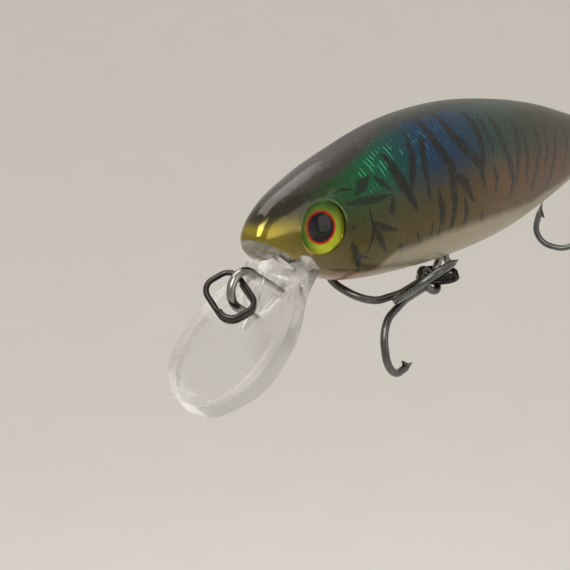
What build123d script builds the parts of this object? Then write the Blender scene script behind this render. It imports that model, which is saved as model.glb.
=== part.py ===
"""Crankbait lure: hollow two-part body, clear diving lip, wire eyes, split rings and two treble hooks.

Frame, in millimetres: the origin is the middle of the line tie's eye. The nose points to -X, the tail
to +X, the back is up (+Z), and the body's halves meet on the plane Y = 0.
"""
from build123d import *
from math import asin, cos, pi, radians, sin
import os

os.makedirs("parts", exist_ok=True)

# ---- body -------------------------------------------------------------------------------------
nose_x = 0.8             # nose tip, just behind the line tie
axis_z = 5.3             # height of the body's long axis
body_fullness = 2.3      # exponent of the cross-sections: 2 is an ellipse, more is boxier
wall = 1.2
body_half_width = 6.5    # wider than the body, for cutting tools that cross it

# cross-sections: distance behind the nose, height of back, depth of belly, half width
body_sections = [
    (0.0, -0.6, -1.5, 0.5),
    (0.5, 0.5, -2.3, 1.35),
    (2.4, 2.4, -3.5, 2.05),
    (6.4, 4.3, -5.1, 2.9),
    (12.8, 6.3, -7.3, 4.0),
    (22.4, 8.5, -8.35, 4.8),
    (33.6, 9.3, -8.65, 5.4),
    (44.8, 8.6, -8.1, 4.85),
    (56.0, 6.9, -6.3, 3.85),
    (68.0, 4.1, -3.75, 2.4),
    (77.0, 2.3, -2.2, 1.4),
    (79.4, 1.75, -1.65, 1.05),
    (80.0, 1.0, -1.0, 0.6),
]
nose_stations = [0, 0.5, 1.4, 2.8, 4.8, 7.6, 11.2]
tail_stations = [74.6, 77.4, 79.2, 80]
body_stations = nose_stations + [16 + 5 * step for step in range(12)] + tail_stations
hollow_stations = [13.5 + 3.5 * step for step in range(16)]
chin_line = [(-3.0, 4.9), (0.9, 4.7), (2.7, 3.8), (8.8, 0.0), (9.4, -6.0), (-3.0, -6.0)]

# ---- wire, rings and hooks --------------------------------------------------------------------
wire_radius = 0.43       # line tie, hangers and hooks
ring_wire_radius = 0.30
ring_radius = 2.25       # middle of a split ring's wire
ring_half_pitch = 0.31
ring_play = 1.345        # hanger wire's middle to ring's middle
hook_shank = 8.2         # middle of the hook's eye to the end of the brazed shank
hook_depth = 5.3         # from there to the bottom of the bend
hook_throat = 7.7        # shank to point
hook_bend_radius = 3.0
hook_eye_radius = 1.45
hook_eye_play = 0.40     # ring wire's middle to the hook eye's middle
shank_offset = 0.50      # each shank's middle to the treble's axis

# ---- line tie and its ring --------------------------------------------------------------------
tie_radius = 1.8
tie_slope = -35.0        # both legs run back and down into the lip at this angle
line_ring_center = (-1.34, 0.61, -0.41)
line_ring_normal = (-0.495, -0.499, 0.705)
line_ring_long = (-0.115, -0.771, -0.625)
tie_upper_leg = 5.6
tie_lower_leg = 3.4
line_ring_half_length = 2.4
line_ring_half_width = 1.72
line_ring_corner = 1.25
line_ring_wire_radius = 0.285
line_ring_half_pitch = 0.30

# ---- lip --------------------------------------------------------------------------------------
lip_slope = 39.0         # degrees below level
lip_length = 15.6
lip_neck = (4.6, 0.2)    # x, z where the tongue leaves the chin
lip_neck_half = 3.9
lip_half = 6.0
lip_thickness = 1.9
lip_rim = 1.2
lip_dish = 0.8

# ---- eyes -------------------------------------------------------------------------------------
eye_center = (8.65, 3.2, 4.7)
eye_forward_turn = 17.5  # degrees that an eye looks forward of square
eye_up_tilt = 3.5
eye_rim_radius = 3.0
eye_seat_radius = 2.68
eye_rim_drop = 0.35      # the rim's plane lies this far under the eye's highest point
eye_seat_depth = 1.35
eye_disc_thickness = 0.2
eye_lens_edge = 0.45
eye_lens_dome = 0.75

# ---- hangers and how the hooks lie at rest ------------------------------------------------------
hanger_radius = 1.45
hanger_leg_half_gap = 0.75
hanger_foot = 1.6
belly_hanger = (34.45, 0, -5.4)  # middle of the loop
belly_hanger_length = 6.6
tail_hanger = (82.4, 0, 5.1)
tail_hanger_length = 8.0
belly_ring_turn = 42.0           # the belly ring lies level, forward and to the left of its hanger
belly_hook_turn = 11.2           # the belly treble points forward, this far to the left
belly_hook_roll = 275.9          # first hook of the double, about the shank
tail_ring_droop = 60.0           # the tail ring and treble hang this far below forward
tail_hook_roll = 270.0

# ---- weights inside ---------------------------------------------------------------------------
tube_z = 6.3
tube_start = 28.5
tube_end = 60.0
tube_radius = 2.75
tube_wall = 0.5
tube_cap = 0.8
magnet_length = 2.2
weight_length = 8.0
weight_play = 0.08
ballast_z = 1.2
ballast_start = 17.5
ballast_end = 26.5
ballast_radius = 2.0
rattle_z = 0.6
rattle_start = 41.5
rattle_end = 51.5
rattle_radius = 2.0
rattle_wall = 0.35
rattle_ball_radius = 1.5
rib_thickness = 1.2
rib_places = (43.6, 51.5, 57.4)  # front face of each rib across the hollow
pin_radius = 0.8
pin_places = [(13.0, 8.5), (38.4, -0.9), (70.5, 5.3)]
tang_pin_place = (11.3, 2.1)
tang_pin_radius = 0.5


def section_points(height, depth, half_width):
    """Points down one flank, from the back's ridge to the belly's keel."""
    middle = (height + depth) / 2
    rise = (height - depth) / 2
    power = 2 / body_fullness
    steps = 10
    points = []
    for step in range(steps + 1):
        turn = pi * step / steps
        side = half_width * sin(turn) ** power if 0 < step < steps else 0.0
        lift = abs(cos(turn)) ** power
        level = middle + (lift if turn < pi / 2 else -lift) * rise
        points.append((side, axis_z + level))
    return points


def section_at(distance, inset=0.0):
    """Height, depth and half width at a distance behind the nose, drawn in by inset."""
    last = len(body_sections) - 1
    index = max(i for i in range(last) if body_sections[i][0] <= distance)
    here, after = body_sections[index], body_sections[index + 1]
    before, beyond = body_sections[max(index - 1, 0)], body_sections[min(index + 2, last)]
    step = after[0] - here[0]
    share = (distance - here[0]) / step
    sizes = []
    for column in (1, 2, 3):
        start_slope = (after[column] - before[column]) / (after[0] - before[0]) * step
        end_slope = (beyond[column] - here[column]) / (beyond[0] - here[0]) * step
        sizes.append(
            (2 * share**3 - 3 * share**2 + 1) * here[column]
            + (share**3 - 2 * share**2 + share) * start_slope
            + (3 * share**2 - 2 * share**3) * after[column]
            + (share**3 - share**2) * end_slope
        )
    height, depth, half = sizes
    return height - inset, depth + inset, half - inset


def flank_solid(distances, inset=0.0):
    """The +Y half of the body's form, drawn in by inset."""
    with BuildPart() as form:
        for distance in distances:
            origin = (nose_x + distance, 0, 0)
            with BuildSketch(Plane(origin=origin, x_dir=(0, 1, 0), z_dir=(1, 0, 0))):
                with BuildLine():
                    flank = Spline(*section_points(*section_at(distance, inset)))
                    Line(flank @ 1, flank @ 0)
                make_face()
        loft()
    return form.part


def mirrored(shape):
    """The same shape on the -Y side."""
    with BuildPart() as other:
        add(shape)
        mirror(about=Plane.XZ, mode=Mode.REPLACE)
    return other.part


def wire_along(path, radius):
    """Round wire swept along a path."""
    with BuildPart() as wire:
        with BuildSketch(Plane(origin=path @ 0, z_dir=path % 0)):
            Circle(radius)
        sweep(path=path)
    return wire.part


def slab_across(outline, thickness):
    """A slab across the body: an outline in X and Z, centred on the middle plane."""
    with BuildPart() as slab:
        with BuildSketch(Plane.XZ):
            with BuildLine():
                Polyline(*outline, close=True)
            make_face()
        extrude(amount=thickness / 2, both=True)
    return slab.part


def block_across(start, end, bottom, top):
    """A full-width block between two x and two z values."""
    outline = [(start, bottom), (end, bottom), (end, top), (start, top)]
    return slab_across(outline, 2 * body_half_width)


def rod(start, direction, length, radius):
    """A straight round rod."""
    with BuildPart() as bar:
        with BuildSketch(Plane(origin=start, z_dir=direction)):
            Circle(radius)
        extrude(amount=length)
    return bar.part


def finish(part, name):
    part.label = name
    export_step(part, "parts/" + name + ".step")


# ---- wire eyes --------------------------------------------------------------------------------
def tie_wire():
    """Line tie: a U of wire whose legs run back and down into the lip."""
    back = Vector(cos(radians(tie_slope)), 0, sin(radians(tie_slope)))
    plane = Plane(origin=(0, 0, 0), x_dir=back, z_dir=(0, -1, 0))
    with BuildLine(plane) as path:
        Line((tie_upper_leg, tie_radius), (0, tie_radius))
        ThreePointArc((0, tie_radius), (-tie_radius, 0), (0, -tie_radius))
        Line((0, -tie_radius), (tie_lower_leg, -tie_radius))
    return wire_along(path.wire(), wire_radius)


def hanger_wire(center, outward, length):
    """A loop outside the body on two legs that close up and end in feet bent apart."""
    slant = hanger_radius * sin(radians(45))
    knee = 2 * slant - hanger_leg_half_gap
    foot = hanger_leg_half_gap + hanger_foot
    plane = Plane(origin=center, x_dir=outward, z_dir=(0, 1, 0))
    upper = [(-length, foot), (-length, hanger_leg_half_gap), (-knee, hanger_leg_half_gap), (-slant, slant)]
    lower = [(x, -y) for x, y in reversed(upper)]
    with BuildLine(plane) as path:
        FilletPolyline(*upper, radius=(0.9, 0.7))
        ThreePointArc((-slant, slant), (hanger_radius, 0), (-slant, -slant))
        FilletPolyline(*lower, radius=(0.7, 0.9))
    return wire_along(path.wire(), wire_radius)


def split_ring(center, level, front):
    """Two flat coils of wire joined by a short step; level is the ring's axis, front its own x."""
    def at(angle, height):
        turn = radians(angle)
        return (ring_radius * cos(turn), ring_radius * sin(turn), height)

    step_start = 290
    step_end = 350
    second_end = 640
    step_points = []
    for index in range(5):
        share = index / 4
        height = ring_half_pitch * -cos(pi * share)
        step_points.append(at(step_start + share * (step_end - step_start), height))
    tangents = [(-sin(radians(a)), cos(radians(a)), 0) for a in (step_start, step_end)]
    with BuildLine(Plane(origin=center, x_dir=front, z_dir=level)) as path:
        ThreePointArc(at(0, -ring_half_pitch), at(step_start / 2, -ring_half_pitch), step_points[0])
        Spline(*step_points, tangents=tangents)
        ThreePointArc(
            step_points[-1],
            at((step_end + second_end) / 2, ring_half_pitch),
            at(second_end, ring_half_pitch),
        )
    return wire_along(path.wire(), ring_wire_radius)


def oval_ring():
    """The line ring: an oval of wire that overlaps itself for about half of its length."""
    length = line_ring_half_length
    width = line_ring_half_width
    height = line_ring_half_pitch
    points = [
        (-0.7, width, -height),
        (length, width, -height),
        (length, -width, -height),
        (0.4, -width, -height),
        (-length, -width, 0),
        (-length, width, height),
        (length, width, height),
        (length, -width, height),
        (0.95, -width, height),
    ]
    corner = line_ring_corner
    plane = Plane(origin=line_ring_center, x_dir=line_ring_long, z_dir=line_ring_normal)
    with BuildLine(plane) as path:
        FilletPolyline(*points, radius=(corner, corner, 1.0, corner, corner, corner, corner))
    return wire_along(path.wire(), line_ring_wire_radius)


# ---- treble hooks -----------------------------------------------------------------------------
def hook(eye, shank, radial, start):
    """One round-bend hook with its barb: shank is the way it points, radial the way it opens."""
    bottom = hook_shank + hook_depth
    point_start = hook_shank + 0.9
    point_length = 1.9
    barb = [(0.1, -0.25), (1.2, -0.3), (1.35, -0.95)]
    plane = Plane(origin=eye, x_dir=shank, z_dir=shank.cross(radial))
    with BuildLine(plane) as path:
        FilletPolyline(
            (start, shank_offset),
            (hook_shank - 1.0, shank_offset),
            (bottom, 1.5),
            (bottom, hook_throat),
            (point_start, hook_throat),
            radius=(5.0, hook_bend_radius, hook_bend_radius),
        )
    wire = path.wire()
    tip = Plane(origin=wire @ 1, z_dir=wire % 1)
    with BuildPart() as one:
        add(wire_along(wire, wire_radius))
        with BuildSketch(tip):
            Circle(wire_radius)
        with BuildSketch(tip.offset(point_length)):
            Circle(0.05)
        loft()
        with BuildSketch(plane):
            with BuildLine():
                Polyline(*[(hook_shank + x, hook_throat + y) for x, y in barb], close=True)
            make_face()
        extrude(amount=0.16, both=True)
    return one.part


def treble(eye, shank, ring_axis, roll):
    """A double hook bent from one wire with its eye, and a single hook brazed along its shanks."""
    side = ring_axis.cross(shank)
    radials = []
    for hook_number in range(3):
        turn = radians(roll - 120 * hook_number)
        radials.append(side * cos(turn) + ring_axis * sin(turn))
    eye_way = (radials[0] - radials[1]).normalized()
    eye_axis = shank.cross(eye_way)
    with BuildPart() as double:
        for radial in radials[:2]:
            add(hook(eye, shank, radial, hook_eye_radius))
        with BuildSketch(Plane(origin=eye, x_dir=eye_way, z_dir=shank)):
            with Locations((hook_eye_radius, 0)):
                Circle(wire_radius)
        revolve(axis=Axis(eye, eye_axis))
    single = hook(eye, shank, radials[2], hook_eye_radius + 2 * wire_radius)
    return double.part, single


# ---- eyes -------------------------------------------------------------------------------------
def eye_plane(side):
    turn = radians(eye_forward_turn)
    tilt = radians(eye_up_tilt)
    normal = (-sin(turn) * cos(tilt), side * cos(turn) * cos(tilt), sin(tilt))
    x, y, z = eye_center
    return Plane(origin=(x, side * y, z), x_dir=(0, 0, 1), z_dir=normal)


def eye_socket(side):
    """What is cut from the head: a seat, and the dish round it."""
    plane = eye_plane(side)
    with BuildPart() as socket:
        with BuildSketch(plane.offset(-eye_seat_depth)):
            Circle(eye_seat_radius)
        extrude(amount=eye_seat_depth)
        with BuildSketch(plane.offset(-eye_rim_drop)):
            Circle(eye_rim_radius)
        extrude(amount=eye_seat_depth)
    return socket.part


def eye_disc(side):
    """The printed foil disc under the lens."""
    plane = eye_plane(side).offset(-eye_seat_depth)
    with BuildPart() as disc:
        with BuildSketch(plane):
            Circle(eye_seat_radius - 0.02)
        extrude(amount=eye_disc_thickness)
    return disc.part


def eye_lens(side):
    """A clear lens with a short straight edge and a domed front."""
    plane = eye_plane(side).offset(eye_disc_thickness - eye_seat_depth)
    radius = eye_seat_radius - 0.02
    top = eye_lens_edge + eye_lens_dome
    dome_radius = (radius**2 + eye_lens_dome**2) / (2 * eye_lens_dome)
    half_turn = asin(radius / dome_radius) / 2
    middle = (dome_radius * sin(half_turn), top - dome_radius * (1 - cos(half_turn)))
    profile = Plane(origin=plane.origin, x_dir=plane.x_dir, z_dir=plane.x_dir.cross(plane.z_dir))
    with BuildPart() as lens:
        with BuildSketch(profile):
            with BuildLine():
                Polyline((0, top), (0, 0), (radius, 0), (radius, eye_lens_edge))
                ThreePointArc((radius, eye_lens_edge), middle, (0, top))
            make_face()
        revolve(axis=Axis(plane.origin, plane.z_dir))
    return lens.part


# ---- clear lip --------------------------------------------------------------------------------
def tongue_outline(inset, start):
    """Outline of the tongue, along and across, from the neck to its round end."""
    flare = [
        (0.0, lip_neck_half),
        (0.28 * lip_length, 0.9 * lip_half),
        (0.55 * lip_length, lip_half),
        (0.8 * lip_length, 0.85 * lip_half),
        (0.94 * lip_length, 0.5 * lip_half),
    ]
    points = [(start, lip_neck_half - 0.35 - inset)] if start < 0 else []
    points += [(along, across - inset) for along, across in flare if along >= start]
    return points + [(lip_length - inset, 0.0)]


def tongue(plane, inset, start, thickness):
    """A tongue-shaped plate standing on a plane."""
    with BuildPart() as plate:
        with BuildSketch(plane):
            with BuildLine():
                edge = Spline(*tongue_outline(inset, start), tangents=[(1, 0.5), (0, -1)])
                Line(edge @ 0, ((edge @ 0).X, 0))
                mirror(about=Plane.XZ)
            make_face()
        extrude(amount=thickness)
    return plate.part


along_lip = Vector(-cos(radians(lip_slope)), 0, -sin(radians(lip_slope)))
lip_face_way = Vector(-sin(radians(lip_slope)), 0, cos(radians(lip_slope)))
lip_plane = Plane(origin=(lip_neck[0], 0, lip_neck[1]), x_dir=along_lip, z_dir=lip_face_way)


# ---- the pieces -------------------------------------------------------------------------------
flank = flank_solid(body_stations)
hollow = flank_solid(hollow_stations, wall)
chin_block = slab_across(chin_line, 2 * body_half_width)
tang = slab_across([(4.6, 1.2), (12.6, 1.2), (12.6, 3.0), (4.6, 3.0)], 1.6)

line_tie_wire = tie_wire()
belly_hanger_wire = hanger_wire(belly_hanger, (0, 0, -1), belly_hanger_length)
tail_hanger_wire = hanger_wire(tail_hanger, (1, 0, 0), tail_hanger_length)

# body shells: outer form, hollow, ribs and blocks, then the seats of everything they hold
tube_length = tube_end - tube_start
tube_outside = rod((tube_start, 0, tube_z), (1, 0, 0), tube_length, tube_radius)
rattle_length = rattle_end - rattle_start
rattle_outside = rod((rattle_start, 0, rattle_z), (1, 0, 0), rattle_length, rattle_radius)
ballast_rod = rod((ballast_start, 0, ballast_z), (1, 0, 0), ballast_end - ballast_start, ballast_radius)
solid_blocks = [
    block_across(ballast_start - 1, ballast_end + 1, -5, ballast_z),
    block_across(30.4, 39.6, -5, 2.0),
    block_across(tube_start - 1.6, tube_start + 1.2, -5, 16),
]
for place in rib_places:
    solid_blocks.append(block_across(place, place + rib_thickness, -5, 16))

with BuildPart() as hollow_side:
    add(hollow)
    for block in solid_blocks:
        add(block, mode=Mode.SUBTRACT)

# lip: chin, tongue with its dished face, the ridge that holds the line tie, and a tang
tongue_back = lip_plane.offset(-lip_thickness / 2)
with BuildPart() as diving_lip:
    add(flank)
    mirror(about=Plane.XZ)
    add(chin_block, mode=Mode.INTERSECT)
    add(tongue(tongue_back, 0.0, -2.4, lip_thickness))
    dish_floor = tongue_back.offset(lip_thickness - lip_dish)
    add(tongue(dish_floor, lip_rim, 0.0, lip_dish), mode=Mode.SUBTRACT)
    ridge_top = Plane(origin=(4.6, 0, 1.3), z_dir=(-0.68, 0, -0.73))
    with BuildSketch(ridge_top):
        Circle(2.9)
    with BuildSketch(ridge_top.offset(7.2)):
        Circle(0.5)
    loft()
    add(tang)
    add(line_tie_wire, mode=Mode.SUBTRACT)
    x, z = tang_pin_place
    add(rod((x, -1.5, z), (0, 1, 0), 3.0, tang_pin_radius + 0.05), mode=Mode.SUBTRACT)
finish(diving_lip.part, "diving_lip")


def body_shell(side):
    with BuildPart() as shell:
        add(flank if side > 0 else mirrored(flank))
        add(hollow_side.part if side > 0 else mirrored(hollow_side.part), mode=Mode.SUBTRACT)
        for held in (chin_block, tang, diving_lip.part, tube_outside, rattle_outside, ballast_rod,
                     belly_hanger_wire, tail_hanger_wire):
            add(held, mode=Mode.SUBTRACT)
        add(eye_socket(side), mode=Mode.SUBTRACT)
        for x, z in pin_places:
            if side < 0:
                add(rod((x, -0.6, z), (0, 1, 0), 0.6 + 1.4, pin_radius))
            else:
                add(rod((x, 0, z), (0, 1, 0), 1.6, pin_radius + 0.05), mode=Mode.SUBTRACT)
        x, z = tang_pin_place
        if side < 0:
            add(rod((x, -1.2, z), (0, 1, 0), 2.6, tang_pin_radius))
        else:
            add(rod((x, 0, z), (0, 1, 0), 1.6, tang_pin_radius + 0.05), mode=Mode.SUBTRACT)
    return shell.part


finish(body_shell(-1), "body_shell_left")
finish(body_shell(1), "body_shell_right")

for side, name in ((-1, "left"), (1, "right")):
    finish(eye_disc(side), name + "_eye_disc")
    finish(eye_lens(side), name + "_eye_lens")

finish(line_tie_wire, "line_tie_wire")
finish(belly_hanger_wire, "belly_hanger_wire")
finish(tail_hanger_wire, "tail_hanger_wire")
finish(oval_ring(), "line_ring")

# belly ring and treble
turn = radians(belly_ring_turn)
belly_wire_x = belly_hanger[0] - hanger_radius
belly_ring_center = Vector(belly_wire_x, 0, belly_hanger[2]) - Vector(cos(turn), sin(turn)) * ring_play
turn = radians(belly_hook_turn)
belly_shank = Vector(-cos(turn), -sin(turn))
belly_eye = belly_ring_center + belly_shank * (ring_radius + hook_eye_play)
finish(split_ring(belly_ring_center, (0, 0, 1), (1, 0, 0)), "belly_split_ring")
double_hook, single_hook = treble(belly_eye, belly_shank, Vector(0, 0, 1), belly_hook_roll)
finish(double_hook, "belly_treble_double")
finish(single_hook, "belly_treble_single")

# tail ring and treble
turn = radians(tail_ring_droop)
tail_shank = Vector(-cos(turn), 0, -sin(turn))
tail_level = Vector(-sin(turn), 0, cos(turn))
tail_ring_center = Vector(*tail_hanger) + tail_shank * (hanger_radius + ring_play)
tail_eye = tail_ring_center + tail_shank * (ring_radius + hook_eye_play)
finish(split_ring(tail_ring_center, tail_level, (0, 1, 0)), "tail_split_ring")
double_hook, single_hook = treble(tail_eye, tail_shank, tail_level, tail_hook_roll)
finish(double_hook, "tail_treble_double")
finish(single_hook, "tail_treble_single")

# weights
finish(ballast_rod, "belly_ballast")
with BuildPart() as weight_tube:
    add(tube_outside)
    inside = tube_length - tube_cap
    add(rod((tube_start, 0, tube_z), (1, 0, 0), inside, tube_radius - tube_wall), mode=Mode.SUBTRACT)
finish(weight_tube.part, "weight_tube")
bore = tube_radius - tube_wall
finish(rod((tube_start, 0, tube_z), (1, 0, 0), magnet_length, bore), "keeper_magnet")
with BuildPart() as transfer_weight:
    weight_start = (tube_start + magnet_length + weight_play, 0, tube_z)
    add(rod(weight_start, (1, 0, 0), weight_length, bore - weight_play))
    fillet(transfer_weight.edges().filter_by(GeomType.CIRCLE), radius=1.0)
finish(transfer_weight.part, "transfer_weight")
with BuildPart() as rattle_tube:
    add(rattle_outside)
    inside_start = (rattle_start + rattle_wall, 0, rattle_z)
    inside = rod(inside_start, (1, 0, 0), rattle_length, rattle_radius - rattle_wall)
    add(inside, mode=Mode.SUBTRACT)
finish(rattle_tube.part, "rattle_tube")
with BuildPart() as rattle_ball:
    with Locations((rattle_start + rattle_wall + rattle_ball_radius + 0.1, 0, rattle_z)):
        Sphere(rattle_ball_radius)
finish(rattle_ball.part, "rattle_ball")
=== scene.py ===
"""Looks for the crankbait lure: foil paint, clear lip, eyes, wire and hooks, with a camera and studio light.

Lengths written here are millimetres in the part's frame: the line tie's eye is the origin, the nose
points to -X, the back is up, and the left flank faces -Y. Blender's own units are metres.
"""
import math

import bpy
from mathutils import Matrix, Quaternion, Vector


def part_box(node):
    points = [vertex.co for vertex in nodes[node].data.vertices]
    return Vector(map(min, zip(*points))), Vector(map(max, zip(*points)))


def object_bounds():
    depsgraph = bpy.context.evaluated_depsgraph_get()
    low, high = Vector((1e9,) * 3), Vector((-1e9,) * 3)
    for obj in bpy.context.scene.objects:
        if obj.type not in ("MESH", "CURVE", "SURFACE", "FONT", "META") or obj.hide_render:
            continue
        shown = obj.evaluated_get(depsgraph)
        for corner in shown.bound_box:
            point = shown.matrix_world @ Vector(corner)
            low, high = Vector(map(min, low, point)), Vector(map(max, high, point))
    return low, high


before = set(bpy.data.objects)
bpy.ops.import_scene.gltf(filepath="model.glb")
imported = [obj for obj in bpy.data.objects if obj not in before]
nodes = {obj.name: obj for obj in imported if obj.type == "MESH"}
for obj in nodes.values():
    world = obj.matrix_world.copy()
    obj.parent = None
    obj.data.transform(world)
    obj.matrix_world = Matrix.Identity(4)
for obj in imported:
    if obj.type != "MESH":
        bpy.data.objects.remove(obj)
cad_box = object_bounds()
MM = 0.001
EYE_PRINT_RADIUS = 2.7   # millimetres
FLOOR_DROP = 0.35        # metres from the lure's lowest point to the floor
SHARP_ANGLE = 32         # degrees between faces past which an edge isn't smoothed


# ---- node graph helpers -----------------------------------------------------------------------
class Graph:
    """A material under construction: each method adds one node and returns its output socket."""

    def __init__(self, name):
        self.material = bpy.data.materials.new(name)
        self.material.use_nodes = True
        self.tree = self.material.node_tree
        self.tree.nodes.clear()
        coordinates = self.add("ShaderNodeTexCoord").outputs["Object"]
        self.point = self.vector("SCALE", coordinates, scale=1 / MM)
        self.x, self.y, self.z = self.split(self.point)

    def add(self, kind, **settings):
        node = self.tree.nodes.new(kind)
        for key, value in settings.items():
            setattr(node, key, value)
        return node

    def feed(self, socket, value):
        if isinstance(value, bpy.types.NodeSocket):
            self.tree.links.new(value, socket)
        elif value is not None:
            socket.default_value = value

    def math(self, operation, a, b=None, c=None, clamp=False):
        node = self.add("ShaderNodeMath", operation=operation, use_clamp=clamp)
        for socket, value in zip(node.inputs, (a, b, c)):
            self.feed(socket, value)
        return node.outputs[0]

    def vector(self, operation, a, b=None, scale=None):
        node = self.add("ShaderNodeVectorMath", operation=operation)
        self.feed(node.inputs[0], a)
        self.feed(node.inputs[1], b)
        if scale is not None:
            self.feed(node.inputs["Scale"], scale)
        return node.outputs["Value" if operation in ("DOT_PRODUCT", "LENGTH", "DISTANCE") else "Vector"]

    def split(self, vector):
        node = self.add("ShaderNodeSeparateXYZ")
        self.feed(node.inputs[0], vector)
        return node.outputs

    def join(self, x, y, z):
        node = self.add("ShaderNodeCombineXYZ")
        for socket, value in zip(node.inputs, (x, y, z)):
            self.feed(socket, value)
        return node.outputs[0]

    def fade(self, value, low, high, to_low=0.0, to_high=1.0):
        """Smooth change from to_low to to_high as value goes from low to high."""
        node = self.add("ShaderNodeMapRange", interpolation_type="SMOOTHSTEP")
        for socket, number in zip(node.inputs, (value, low, high, to_low, to_high)):
            self.feed(socket, number)
        return node.outputs[0]

    def mix(self, share, a, b):
        node = self.add("ShaderNodeMix", data_type="RGBA")
        self.feed(node.inputs[0], share)
        self.feed(node.inputs[6], a)
        self.feed(node.inputs[7], b)
        return node.outputs[2]

    def noise(self, size, detail=2.0, vector=None, rough=0.5, colour=False):
        """Soft noise whose blobs are about size millimetres across."""
        node = self.add("ShaderNodeTexNoise")
        self.feed(node.inputs["Vector"], vector or self.point)
        node.inputs["Scale"].default_value = 1 / size
        node.inputs["Detail"].default_value = detail
        node.inputs["Roughness"].default_value = rough
        return node.outputs["Color" if colour else "Fac"]

    def ramp(self, value, stops):
        """Colour by position along the stops: [(position, (r, g, b) in 0-255), ...]."""
        node = self.add("ShaderNodeValToRGB")
        self.feed(node.inputs[0], value)
        elements = node.color_ramp.elements
        while len(elements) < len(stops):
            elements.new(0.5)
        for element, (position, colour) in zip(elements, stops):
            element.position = position
            element.color = rgb(*colour)
        return node.outputs[0]

    def curve(self, value, points):
        """A smooth curve through a few (position, value) points, all from 0 to 1."""
        node = self.add("ShaderNodeFloatCurve")
        self.feed(node.inputs["Value"], value)
        line = node.mapping.curves[0].points
        while len(line) < len(points):
            line.new(0.5, 0.5)
        for spot, place in zip(line, points):
            spot.location = place
        node.mapping.update()
        return node.outputs[0]

    def bump(self, height, distance, strength=1.0):
        """distance is the real depth in millimetres of a height of 1."""
        node = self.add("ShaderNodeBump")
        node.inputs["Strength"].default_value = strength
        node.inputs["Distance"].default_value = distance * MM
        self.feed(node.inputs["Height"], height)
        return node.outputs[0]

    def shader(self, **inputs):
        """The Principled shader; names are its sockets with _ for a space."""
        node = self.add("ShaderNodeBsdfPrincipled")
        for key, value in inputs.items():
            self.feed(node.inputs[key.replace("_", " ")], value)
        output = self.add("ShaderNodeOutputMaterial")
        self.tree.links.new(node.outputs[0], output.inputs[0])
        return self.material


def rgb(red, green, blue):
    """A screen colour, 0-255, as Blender's linear colour."""
    linear = [((c / 255 + 0.055) / 1.055) ** 2.4 if c > 10 else c / 255 / 12.92 for c in (red, green, blue)]
    return (*linear, 1.0)


def assign(material, *names):
    for name in names:
        slots = nodes[name].data.materials
        slots.clear()
        slots.append(material)


# ---- the body's outline, read from the shell's mesh -------------------------------------------
def outline(node, stations=19):
    """Height of the back and of the keel at even steps along the body, in millimetres."""
    low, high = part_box(node)
    step = (high.x - low.x) / (stations - 1)
    back, keel = [], []
    vertices = [v.co for v in nodes[node].data.vertices]
    for index in range(stations):
        middle = low.x + index * step
        near = [v.z for v in vertices if abs(v.x - middle) < step / 2]
        back.append(max(near) / MM)
        keel.append(min(near) / MM)
    return low.x / MM, high.x / MM, back, keel


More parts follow.
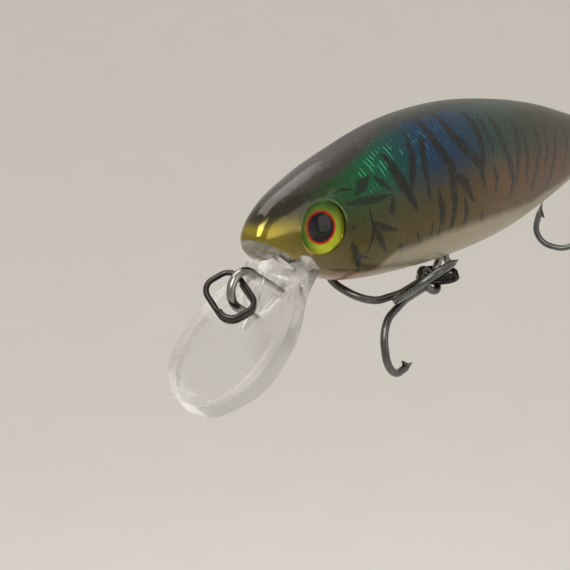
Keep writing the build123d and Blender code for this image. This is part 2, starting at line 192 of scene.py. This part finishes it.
# ---- painted body -----------------------------------------------------------------------------
# brush strokes on the flank: (x, z, half width) from end to end
bars = [
    [(18.2, 10.6, 0.2), (18.9, 9.3, 0.5), (20.1, 7.4, 0.55), (21.5, 5.6, 0.4), (22.3, 4.4, 0.15)],
    [(22.6, 12.0, 0.3), (22.2, 10.0, 0.45), (21.9, 8.6, 0.4), (21.4, 6.8, 0.2)],
    [(24.7, 11.6, 0.35), (24.1, 9.8, 0.45), (24.0, 7.8, 0.4), (24.5, 5.0, 0.15)],
    [(25.7, 13.2, 0.3), (27.1, 10.2, 0.5), (28.6, 7.9, 0.55), (28.9, 4.8, 0.45), (29.2, 2.8, 0.4),
     (28.7, 0.4, 0.2)],
    [(29.0, 7.2, 0.4), (31.0, 6.1, 0.5), (32.9, 3.6, 0.15)],
    [(26.0, 5.9, 0.2), (26.8, 3.8, 0.4), (27.0, 1.6, 0.35), (26.5, 0.2, 0.15)],
    [(28.9, 13.6, 0.3), (30.3, 11.0, 0.5), (32.2, 9.3, 0.5), (34.4, 7.5, 0.5), (35.0, 5.0, 0.2)],
    [(34.2, 13.3, 0.3), (35.0, 11.2, 0.5), (35.1, 9.0, 0.45), (34.7, 7.4, 0.35)],
    [(30.9, 4.5, 0.15), (31.6, 2.4, 0.4), (31.4, 0.6, 0.15)],
    [(36.3, 12.6, 0.25), (37.1, 10.2, 0.4), (37.5, 8.3, 0.15)],
    [(37.5, 6.8, 0.2), (37.9, 5.4, 0.4), (37.8, 4.0, 0.15)],
    [(38.9, 12.8, 0.3), (39.8, 9.9, 0.45), (41.7, 6.3, 0.5), (42.4, 4.6, 0.4), (41.8, 2.6, 0.15)],
    [(35.0, 2.0, 0.15), (35.5, 0.9, 0.35), (35.7, 0.2, 0.15)],
    [(43.8, 11.6, 0.3), (44.1, 9.0, 0.5), (43.5, 6.6, 0.35), (43.3, 4.2, 0.15)],
    [(45.7, 10.2, 0.25), (46.5, 7.0, 0.45), (46.2, 3.6, 0.15)],
    [(49.5, 10.4, 0.3), (50.2, 7.2, 0.5), (48.7, 4.4, 0.4), (47.8, 2.2, 0.15)],
    [(55.6, 9.2, 0.25), (55.2, 6.2, 0.45), (53.9, 3.2, 0.4), (52.9, 1.4, 0.15)],
    [(52.3, 9.8, 0.2), (52.6, 7.0, 0.4), (51.6, 4.6, 0.15)],
    [(59.0, 9.4, 0.25), (59.7, 6.8, 0.5), (58.6, 3.4, 0.15)],
    [(63.0, 8.6, 0.2), (63.4, 6.2, 0.45), (62.0, 3.0, 0.15)],
    [(66.6, 8.2, 0.25), (67.2, 5.6, 0.4), (66.2, 3.0, 0.15)],
    [(70.4, 7.6, 0.2), (70.8, 5.4, 0.35), (69.8, 3.4, 0.15)],
    [(74.4, 7.2, 0.2), (74.6, 5.2, 0.3), (73.8, 3.8, 0.15)],
]
spots = [
    [(12.9, 7.3, 0.15), (14.0, 8.1, 0.65), (15.3, 8.9, 0.15)],
    [(11.6, 6.6, 0.1), (13.6, 6.6, 0.42), (15.8, 6.5, 0.42), (18.3, 6.6, 0.05)],
    [(15.9, 8.7, 0.1), (16.9, 8.0, 0.35), (18.1, 7.1, 0.05)],
    [(18.3, 6.1, 0.3), (18.1, 5.1, 0.45)],
    [(12.2, 4.2, 0.15), (12.6, 4.0, 0.12)],
    [(15.2, 4.2, 0.15), (16.8, 3.4, 0.4), (19.3, 2.6, 0.05)],
    [(15.4, 3.6, 0.25), (16.6, 1.9, 0.4), (17.9, 0.4, 0.05)],
    [(12.3, 2.3, 0.3), (13.5, 0.6, 0.4), (14.4, -1.0, 0.1)],
    [(13.4, 1.0, 0.2), (15.1, 0.4, 0.1)],
    [(20.0, 0.8, 0.3), (20.5, 0.6, 0.15)],
    [(22.6, 1.8, 0.1), (23.5, 0.4, 0.3)],
    [(25.3, 2.2, 0.15), (25.2, 0.5, 0.3)],
]
gill_edge = [(14.6, 5.8, 0.08), (15.2, 3.6, 0.22), (15.1, 2.4, 0.26), (14.5, 0.9, 0.06)]
brow_line = [(9.9, 7.75, 0.05), (11.2, 8.1, 0.16), (12.8, 7.9, 0.05)]


def stroke_group():
    """Node group for one straight piece of a stroke: 1 on its middle line, 0 on its edge, less outside.

    It passes on the larger of its own cover and the cover before it. Its first two nodes multiply the
    point by one, so that each piece waits for the one before it and the renderer needs little memory.
    """
    group = bpy.data.node_groups.new("stroke_piece", "ShaderNodeTree")
    for name, kind in (("Point", "Vector"), ("Start", "Vector"), ("Way", "Vector"), ("Per length", "Vector"),
                       ("Half width", "Float"), ("Growth", "Float"), ("Before", "Float")):
        group.interface.new_socket(name, in_out="INPUT", socket_type="NodeSocket" + kind)
    group.interface.new_socket("Cover", in_out="OUTPUT", socket_type="NodeSocketFloat")
    source = group.nodes.new("NodeGroupInput").outputs
    sink = group.nodes.new("NodeGroupOutput").inputs

    def step(kind, operation, **inputs):
        node = group.nodes.new("ShaderNode" + kind)
        node.operation = operation
        for key, value in inputs.items():
            socket = node.inputs["Scale"] if key == "scale" else node.inputs[int(key[1])]
            if isinstance(value, bpy.types.NodeSocket):
                group.links.new(value, socket)
            else:
                socket.default_value = value
        single = kind == "Math" or operation in ("DOT_PRODUCT", "DISTANCE")
        return node.outputs["Value" if single else "Vector"]

    one = step("Math", "MULTIPLY_ADD", i0=source["Before"], i1=0.0, i2=1.0)
    point = step("VectorMath", "SCALE", i0=source["Point"], scale=one)
    offset = step("VectorMath", "SUBTRACT", i0=point, i1=source["Start"])
    along = step("VectorMath", "DOT_PRODUCT", i0=offset, i1=source["Per length"])
    share = step("Math", "MINIMUM", i0=step("Math", "MAXIMUM", i0=along, i1=0.0), i1=1.0)
    reach = step("VectorMath", "SCALE", i0=source["Way"], scale=share)
    distance = step("VectorMath", "DISTANCE", i0=offset, i1=reach)
    width = step("Math", "MULTIPLY_ADD", i0=share, i1=source["Growth"], i2=source["Half width"])
    inside = step("Math", "SUBTRACT", i0=1.0, i1=step("Math", "DIVIDE", i0=distance, i1=width))
    group.links.new(step("Math", "MAXIMUM", i0=inside, i1=source["Before"]), sink["Cover"])
    return group


stroke_piece = stroke_group()


def strokes(graph, point, lines, widen=1.0):
    """How far inside any stroke a point lies: 1 on a middle line, 0 on an edge. widen scales the widths."""
    cover = -1.0
    for line in lines:
        for start, end in zip(line, line[1:]):
            first, second = Vector((start[0], start[1], 0)), Vector((end[0], end[1], 0))
            way = second - first
            piece = graph.add("ShaderNodeGroup", node_tree=stroke_piece)
            width, growth = widen * start[2], widen * (end[2] - start[2])
            values = (point, first, way, way / way.length_squared, width, growth, cover)
            for socket, value in zip(piece.inputs, values):
                graph.feed(socket, value)
            cover = piece.outputs[0]
    return cover


def body_paint():
    """Gold foil under candy paint, with scales, bars and spots, all under a clear coat."""
    g = Graph("lure_body_paint")
    start, end, back, keel = outline("body_shell_left")
    along = g.math("DIVIDE", g.math("SUBTRACT", g.x, start), end - start)
    lift, span = 6.0, 24.0
    steps = [index / (len(back) - 1) for index in range(len(back))]
    top = g.curve(along, [(s, (z + lift) / span) for s, z in zip(steps, back)])
    bottom = g.curve(along, [(s, (z + lift) / span) for s, z in zip(steps, keel)])
    level = g.math("DIVIDE", g.math("ADD", g.z, lift), span)
    height = g.math("DIVIDE", g.math("SUBTRACT", level, bottom), g.math("SUBTRACT", top, bottom))
    wander = g.math("MULTIPLY_ADD", g.noise(2.6, 3), 0.05, -0.025)
    height = g.math("ADD", height, wander)

    def at(x):
        return (x - start) / (end - start)

    # colour along the body in three bands, from under the back down to the belly
    upper = g.ramp(along, [
        (0.0, (44, 36, 14)), (at(6), (40, 36, 12)), (at(10), (26, 66, 22)), (at(15), (10, 84, 50)),
        (at(20), (8, 72, 68)), (at(25), (12, 54, 86)), (at(32), (22, 58, 82)), (at(40), (34, 66, 54)),
        (at(52), (54, 54, 34)), (1.0, (62, 44, 24))])
    middle = g.ramp(along, [
        (0.0, (156, 138, 18)), (at(6), (96, 86, 18)), (at(12), (58, 62, 22)), (at(18), (66, 68, 36)),
        (at(24), (74, 66, 36)), (at(32), (86, 66, 36)), (at(40), (104, 70, 30)), (at(55), (92, 56, 22)),
        (1.0, (74, 44, 18))])
    lower = g.ramp(along, [
        (0.0, (140, 122, 22)), (at(8), (92, 78, 24)), (at(16), (80, 70, 28)), (at(28), (90, 76, 30)),
        (at(40), (100, 72, 30)), (at(60), (86, 54, 22)), (1.0, (70, 42, 18))])
    colour = g.mix(g.fade(height, 0.28, 0.48), lower, middle)
    colour = g.mix(g.fade(height, 0.46, 0.72), colour, upper)

    # back, belly and throat
    back_edge = g.curve(along, [(0.0, 0.42), (at(1.4), 0.80), (at(6), 0.83), (at(11), 0.85), (at(18), 0.92),
                                (at(30), 0.95), (at(60), 0.95), (1.0, 0.90)])
    over_back = g.math("SUBTRACT", height, back_edge)
    dark_back = g.fade(over_back, -0.03, 0.03)
    belly_edge = g.curve(along, [(0.0, 0.08), (at(13), 0.08), (at(16), 0.08), (at(20.5), 0.18),
                                 (at(60), 0.19), (1.0, 0.22)])
    under_belly = g.math("SUBTRACT", belly_edge, height)
    pale_belly = g.fade(under_belly, -0.05, 0.03)
    belly = g.ramp(along, [(0.0, (120, 72, 44)), (at(13), (142, 92, 66)), (at(19), (160, 148, 124)),
                           (at(60), (158, 146, 122)), (1.0, (122, 100, 76))])

    # scales: two sets of slanting lines behind the gill cover
    wobble = g.math("MULTIPLY_ADD", g.noise(4.0, 1), 0.9, -0.45)
    run = g.math("ADD", g.x, wobble)
    slant_a = g.math("MULTIPLY_ADD", g.z, 0.55, run)
    slant_b = g.math("MULTIPLY_ADD", g.z, -0.55, run)
    pitch = 0.62
    wave_a = g.math("ABSOLUTE", g.math("SINE", g.math("MULTIPLY", slant_a, math.pi / pitch)))
    wave_b = g.math("ABSOLUTE", g.math("SINE", g.math("MULTIPLY", slant_b, math.pi / pitch)))
    scale_height = g.math("MULTIPLY", g.math("POWER", wave_a, 0.6), g.math("POWER", wave_b, 0.6))
    height_mm = g.math("DIVIDE", g.math("ADD", g.z, lift), span)
    gill_x = g.curve(height_mm, [(0.0, 0.60), (0.18, 0.72), (0.29, 0.86), (0.44, 0.88), (0.64, 0.80),
                                 (0.78, 0.50), (1.0, 0.44)])
    behind_gill = g.fade(g.math("SUBTRACT", g.x, g.math("MULTIPLY", gill_x, 24.0)), -0.3, 0.5)
    scale_mask = g.math("MULTIPLY", behind_gill, g.math("SUBTRACT", 1.0, g.math("MULTIPLY", dark_back, 0.85)))
    scale_shade = g.math("MULTIPLY", g.math("SUBTRACT", 1.0, scale_height), scale_mask)
    colour = g.mix(g.math("MULTIPLY", scale_shade, 0.35), colour, rgb(22, 22, 16))

    # green and turquoise glints on the scale edges of the shoulder
    glint_zone = g.math("MULTIPLY", g.fade(over_back, -0.30, -0.12), g.fade(over_back, -0.02, -0.06))
    shoulder = g.math("MULTIPLY", g.fade(g.x, 12.5, 14.5), g.fade(g.x, 34.0, 21.0))
    glint_zone = g.math("MULTIPLY", glint_zone, shoulder)
    dash = g.math("MULTIPLY", g.fade(wave_a, 0.42, 0.12), g.fade(g.noise(1.1, 1), 0.46, 0.60))
    glint = g.math("MULTIPLY", glint_zone, dash)
    colour = g.mix(g.math("MULTIPLY", glint, 0.9), colour, g.ramp(along, [
        (at(12), (60, 190, 120)), (at(18), (70, 200, 160)), (at(24), (70, 150, 180)),
        (at(34), (90, 130, 170))]))

    # bars, spots, and the grooves along the gill cover and the eye's brow, darkened with painted shade
    warp = g.vector("SCALE", g.vector("SUBTRACT", g.noise(1.7, 2, colour=True), (0.5, 0.5, 0.5)), scale=0.75)
    flat = g.vector("ADD", g.join(g.x, g.z, 0.0), warp)
    flat = g.vector("MULTIPLY", flat, (1, 1, 0))
    plain = g.join(g.x, g.z, 0.0)
    bar_cover = g.fade(strokes(g, flat, bars, 1.35), -0.30, 0.45)
    bar_cover = g.math("MULTIPLY", bar_cover, g.fade(g.noise(1.4, 3), 0.18, 0.44))
    spot_cover = g.fade(strokes(g, plain, spots, 1.15), -0.30, 0.42)
    groove_and_shade = g.fade(strokes(g, plain, [gill_edge, brow_line]), -0.2, 0.5)
    colour = g.mix(g.math("MULTIPLY", bar_cover, 0.93), colour, rgb(14, 13, 10))
    colour = g.mix(g.math("MULTIPLY", spot_cover, 0.85), colour, rgb(12, 16, 9))
    # painted shade: the gill-cover and brow grooves darkened as if in shadow; the same mask also sinks them
    # in the bump below
    colour = g.mix(g.math("MULTIPLY", groove_and_shade, 0.9), colour, rgb(12, 14, 8))
    colour = g.mix(pale_belly, colour, g.mix(g.math("MULTIPLY", scale_shade, 0.5), belly, rgb(110, 102, 86)))
    back_tone = g.ramp(along, [(0.0, (44, 34, 26)), (at(16), (38, 32, 28)), (at(30), (30, 36, 30)),
                               (at(46), (34, 38, 32)), (1.0, (40, 36, 30))])
    colour = g.mix(dark_back, colour, back_tone)
    colour = g.mix(g.fade(g.noise(0.35, 2), 0.62, 0.8, 0.0, 0.12), colour, rgb(230, 222, 190))

    # foil shows most on the face; the back is solid paint
    face = g.fade(g.x, 16.0, 5.0)
    foil = g.math("MULTIPLY_ADD", face, 0.32, 0.55)
    foil = g.math("MULTIPLY", foil, g.math("SUBTRACT", 1.0, dark_back))
    foil = g.math("MULTIPLY", foil, g.math("SUBTRACT", 1.0, g.math("MULTIPLY", pale_belly, 0.75)))
    covered = g.math("MAXIMUM", bar_cover, spot_cover)
    foil = g.math("MULTIPLY", foil, g.math("SUBTRACT", 1.0, g.math("MULTIPLY", covered, 0.6)))
    rough = g.math("MULTIPLY_ADD", face, -0.22, 0.36)
    rough = g.math("ADD", rough, g.math("MULTIPLY_ADD", g.noise(0.8, 3), 0.10, -0.05))
    scale_relief = g.math("MULTIPLY", scale_height, scale_mask)
    relief = g.math("ADD", g.math("MULTIPLY", scale_relief, 0.030), g.math("MULTIPLY", groove_and_shade, -0.06))
    relief = g.math("ADD", relief, g.math("MULTIPLY", g.noise(3.0, 1), g.math("MULTIPLY", face, 0.25)))
    normal = g.bump(relief, 1.0, 0.9)
    coat_normal = g.bump(g.noise(2.4, 1), 0.012)
    coat_rough = g.math("MULTIPLY_ADD", face, -0.11, 0.17)
    coat_rough = g.math("ADD", coat_rough, g.math("MULTIPLY", dark_back, 0.24))
    coat = g.math("MULTIPLY_ADD", face, 0.5, 0.3)
    return g.shader(Base_Color=colour, Metallic=foil, Roughness=rough, Normal=normal, Coat_Weight=coat,
                    Coat_Roughness=coat_rough, Coat_IOR=1.5, Coat_Normal=coat_normal,
                    Specular_IOR_Level=0.2)


# ---- clear plastic ----------------------------------------------------------------------------
def clear_plastic(name, tint, ior, mark_depth, body=1.0):
    """Clear moulding with faint flow waves and fine scratches; a body below 1 lets light straight through."""
    g = Graph(name)
    scratch_way = g.vector("MULTIPLY", g.point, (0.35, 2.0, 0.9))
    scratches = g.fade(g.noise(0.5, 3, vector=scratch_way, rough=0.6), 0.70, 0.76)
    waves = g.noise(3.0, 2)
    relief = g.math("ADD", g.math("MULTIPLY", waves, 4.0), scratches)
    rough = g.math("MULTIPLY_ADD", scratches, 0.25, 0.015)
    colour = g.mix(g.math("MULTIPLY", g.noise(5.0, 2), 0.5), rgb(*tint), rgb(255, 255, 252))
    alpha = g.math("MULTIPLY_ADD", waves, 0.08, body - 0.04, clamp=True)
    return g.shader(Base_Color=colour, Roughness=rough, IOR=ior, Transmission_Weight=1.0, Alpha=alpha,
                    Normal=g.bump(relief, mark_depth))


def eye_print(name, node):
    """Printed foil disc: pupil, red ring and green iris, drawn about the disc's own middle."""
    mesh = nodes[node].data
    normal = max(mesh.polygons, key=lambda face: face.area * abs(face.normal.y)).normal.copy()
    low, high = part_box(node)
    middle = (low + high) / 2 / MM
    g = Graph(name)
    offset = g.vector("SUBTRACT", g.point, middle)
    out = g.vector("DOT_PRODUCT", offset, normal)
    flat = g.vector("SUBTRACT", offset, g.vector("SCALE", normal, scale=out))
    radius = g.vector("LENGTH", flat)
    share = g.math("DIVIDE", radius, EYE_PRINT_RADIUS)
    uneven = g.math("ADD", share, g.math("MULTIPLY_ADD", g.noise(1.2, 2), 0.10, -0.05))
    iris = g.ramp(uneven, [(0.60, (150, 170, 20)), (0.72, (96, 150, 22)), (0.84, (64, 124, 26)),
                           (0.93, (120, 150, 40)), (1.0, (50, 70, 18))])
    x, y, z = g.split(flat)
    sheen = g.fade(g.math("ADD", g.math("MULTIPLY", x, 0.5), g.math("MULTIPLY", z, -0.6)), -0.6, 1.6)
    iris = g.mix(g.math("MULTIPLY", sheen, 0.7), iris, rgb(196, 196, 26))
    streak = g.noise(0.5, 3, vector=g.vector("MULTIPLY", g.point, (1.0, 1.0, 3.0)))
    iris = g.mix(g.fade(streak, 0.5, 0.75, 0.0, 0.35), iris, rgb(30, 70, 14))
    red_edge = g.fade(share, 0.575, 0.595)
    pupil_edge = g.fade(share, 0.500, 0.515)
    ring = g.mix(g.noise(0.6, 2), rgb(214, 12, 2), rgb(236, 34, 6))
    colour = g.mix(red_edge, ring, iris)
    colour = g.mix(pupil_edge, rgb(1, 1, 2), colour)
    metal = g.math("MULTIPLY", red_edge, 0.55)
    return g.shader(Base_Color=colour, Metallic=metal, Roughness=0.22, Specular_IOR_Level=0.0,
                    Normal=g.bump(g.noise(0.9, 2), 0.02))


# ---- metal ------------------------------------------------------------------------------------
def metal(name, dark, light, rough, brown=0.0, draw=(1.0, 1.0, 1.0)):
    """Plated wire: blotches, fine drawing marks and small worn specks."""
    g = Graph(name)
    blotch = g.noise(1.6, 4, rough=0.6)
    colour = g.mix(blotch, rgb(*dark), rgb(*light))
    rust = g.fade(g.noise(0.9, 3), 0.55, 0.75, 0.0, brown)
    colour = g.mix(rust, colour, rgb(112, 70, 44))
    marks = g.noise(0.16, 3, vector=g.vector("MULTIPLY", g.point, draw), rough=0.65)
    speck = g.fade(g.noise(0.22, 2), 0.68, 0.76)
    colour = g.mix(g.math("MULTIPLY", speck, 0.5), colour, rgb(150, 148, 142))
    roughness = g.math("ADD", g.math("MULTIPLY", marks, 0.16), rough)
    return g.shader(Base_Color=colour, Metallic=1.0, Roughness=roughness, Normal=g.bump(marks, 0.012))


def moulded(name, tint, rough):
    """Translucent moulded plastic for the tubes inside."""
    g = Graph(name)
    colour = g.mix(g.noise(2.0, 3), rgb(*tint), rgb(235, 235, 228))
    return g.shader(Base_Color=colour, Roughness=rough, IOR=1.49, Transmission_Weight=0.6,
                    Normal=g.bump(g.noise(0.5, 2), 0.01))


assign(body_paint(), "body_shell_left", "body_shell_right")
assign(clear_plastic("clear_lip", (247, 246, 243), 1.5, 0.002, 0.6), "diving_lip")
assign(clear_plastic("eye_resin", (252, 252, 250), 1.36, 0.001), "left_eye_lens", "right_eye_lens")
assign(eye_print("left_eye_print", "left_eye_disc"), "left_eye_disc")
assign(eye_print("right_eye_print", "right_eye_disc"), "right_eye_disc")
assign(metal("tie_steel", (96, 95, 94), (178, 176, 172), 0.12, 0.25), "line_tie_wire")
hanger_metal = metal("hanger_steel", (86, 86, 86), (150, 150, 148), 0.16, 0.1)
assign(hanger_metal, "belly_hanger_wire", "tail_hanger_wire")
assign(metal("line_ring_nickel", (34, 33, 33), (78, 76, 74), 0.16, 0.5), "line_ring")
ring_metal = metal("split_ring_nickel", (22, 22, 24), (60, 60, 62), 0.2, 0.1)
assign(ring_metal, "belly_split_ring", "tail_split_ring")
hook_metal = metal("hook_nickel", (62, 64, 64), (118, 120, 118), 0.2, 0.15)
assign(hook_metal, "belly_treble_double", "belly_treble_single", "tail_treble_double", "tail_treble_single")
assign(metal("ballast_lead", (90, 90, 92), (130, 130, 132), 0.45, 0.0), "belly_ballast")
assign(metal("magnet_nickel", (140, 138, 132), (190, 188, 182), 0.25, 0.0), "keeper_magnet")
assign(metal("weight_steel", (120, 120, 122), (190, 190, 192), 0.14, 0.0), "transfer_weight", "rattle_ball")
assign(moulded("tube_plastic", (214, 216, 210), 0.25), "weight_tube", "rattle_tube")
for node in nodes.values():
    node.data.shade_smooth()
    node.data.set_sharp_from_angle(angle=math.radians(SHARP_ANGLE))

# ---- floor, light and camera ------------------------------------------------------------------
scene = bpy.context.scene


def floor():
    """A pale paper floor well under the lure that curves up into a low round wall, so no horizon shows."""
    level = cad_box[0][2] - FLOOR_DROP
    flat, sweep, around, rise = 0.8, 1.3, 96, 24
    rings = [(flat * (index + 1) / 4, level) for index in range(4)]
    for index in range(1, rise + 1):
        turn = math.radians(80) * index / rise
        rings.append((flat + sweep * math.sin(turn), level + sweep * (1 - math.cos(turn))))
    corners = [(0.0, 0.0, level)]
    for radius, height in rings:
        for step in range(around):
            turn = 2 * math.pi * step / around
            corners.append((radius * math.cos(turn), radius * math.sin(turn), height))
    faces = [(0, 1 + step, 1 + (step + 1) % around) for step in range(around)]
    for ring in range(len(rings) - 1):
        first = 1 + ring * around
        for step in range(around):
            after = (step + 1) % around
            faces.append((first + step, first + around + step, first + around + after, first + after))
    mesh = bpy.data.meshes.new("floor")
    mesh.from_pydata(corners, [], faces)
    mesh.shade_smooth()
    paper = bpy.data.objects.new("floor", mesh)
    scene.collection.objects.link(paper)
    g = Graph("floor_paper")
    colour = g.mix(g.noise(60.0, 2), rgb(230, 227, 222), rgb(234, 231, 226))
    mesh.materials.append(g.shader(Base_Color=colour, Roughness=0.9, Normal=g.bump(g.noise(1.5, 2), 0.05)))


def area_light(name, place, aim, size, power, colour=(1, 1, 1), height=None):
    """A rectangular soft light; place, aim and size are millimetres."""
    light = bpy.data.lights.new(name, "AREA")
    light.shape = "RECTANGLE"
    light.size = size * MM
    light.size_y = (height or size) * MM
    light.energy = power
    light.color = colour
    lamp = bpy.data.objects.new(name, light)
    lamp.location = Vector(place) * MM
    lamp.rotation_euler = (Vector(aim) - Vector(place)).to_track_quat("-Z", "Y").to_euler()
    scene.collection.objects.link(lamp)


floor()
area_light("key_window", (-420, -260, 420), (30, 0, 0), 420, 2.6, (1.0, 0.98, 0.95))
area_light("top_soft", (60, 120, 620), (30, 0, 0), 520, 2.0, (1.0, 0.99, 0.97))
area_light("side_fill", (160, -620, 60), (30, 0, 0), 360, 0.5, (1.0, 0.97, 0.93))

world = bpy.data.worlds.new("studio")
world.use_nodes = True
world.node_tree.nodes["Background"].inputs[0].default_value = rgb(216, 213, 208)
world.node_tree.nodes["Background"].inputs[1].default_value = 0.95
scene.world = world
scene.view_settings.view_transform = "Standard"

camera_place = Vector((-68.0, -65.45, 24.75))
camera_way = Vector((0.7245, 0.6419, -0.2510))
camera_roll = math.radians(-2.7)
camera = bpy.data.cameras.new("camera")
camera.lens = 65.1
camera.sensor_width = 36.0
camera.clip_start = 0.005
camera_object = bpy.data.objects.new("camera", camera)
camera_object.location = camera_place * MM
camera_object.rotation_mode = "QUATERNION"
camera_object.rotation_quaternion = camera_way.to_track_quat("-Z", "Y") @ Quaternion((0, 0, 1), camera_roll)
scene.collection.objects.link(camera_object)
scene.camera = camera_object
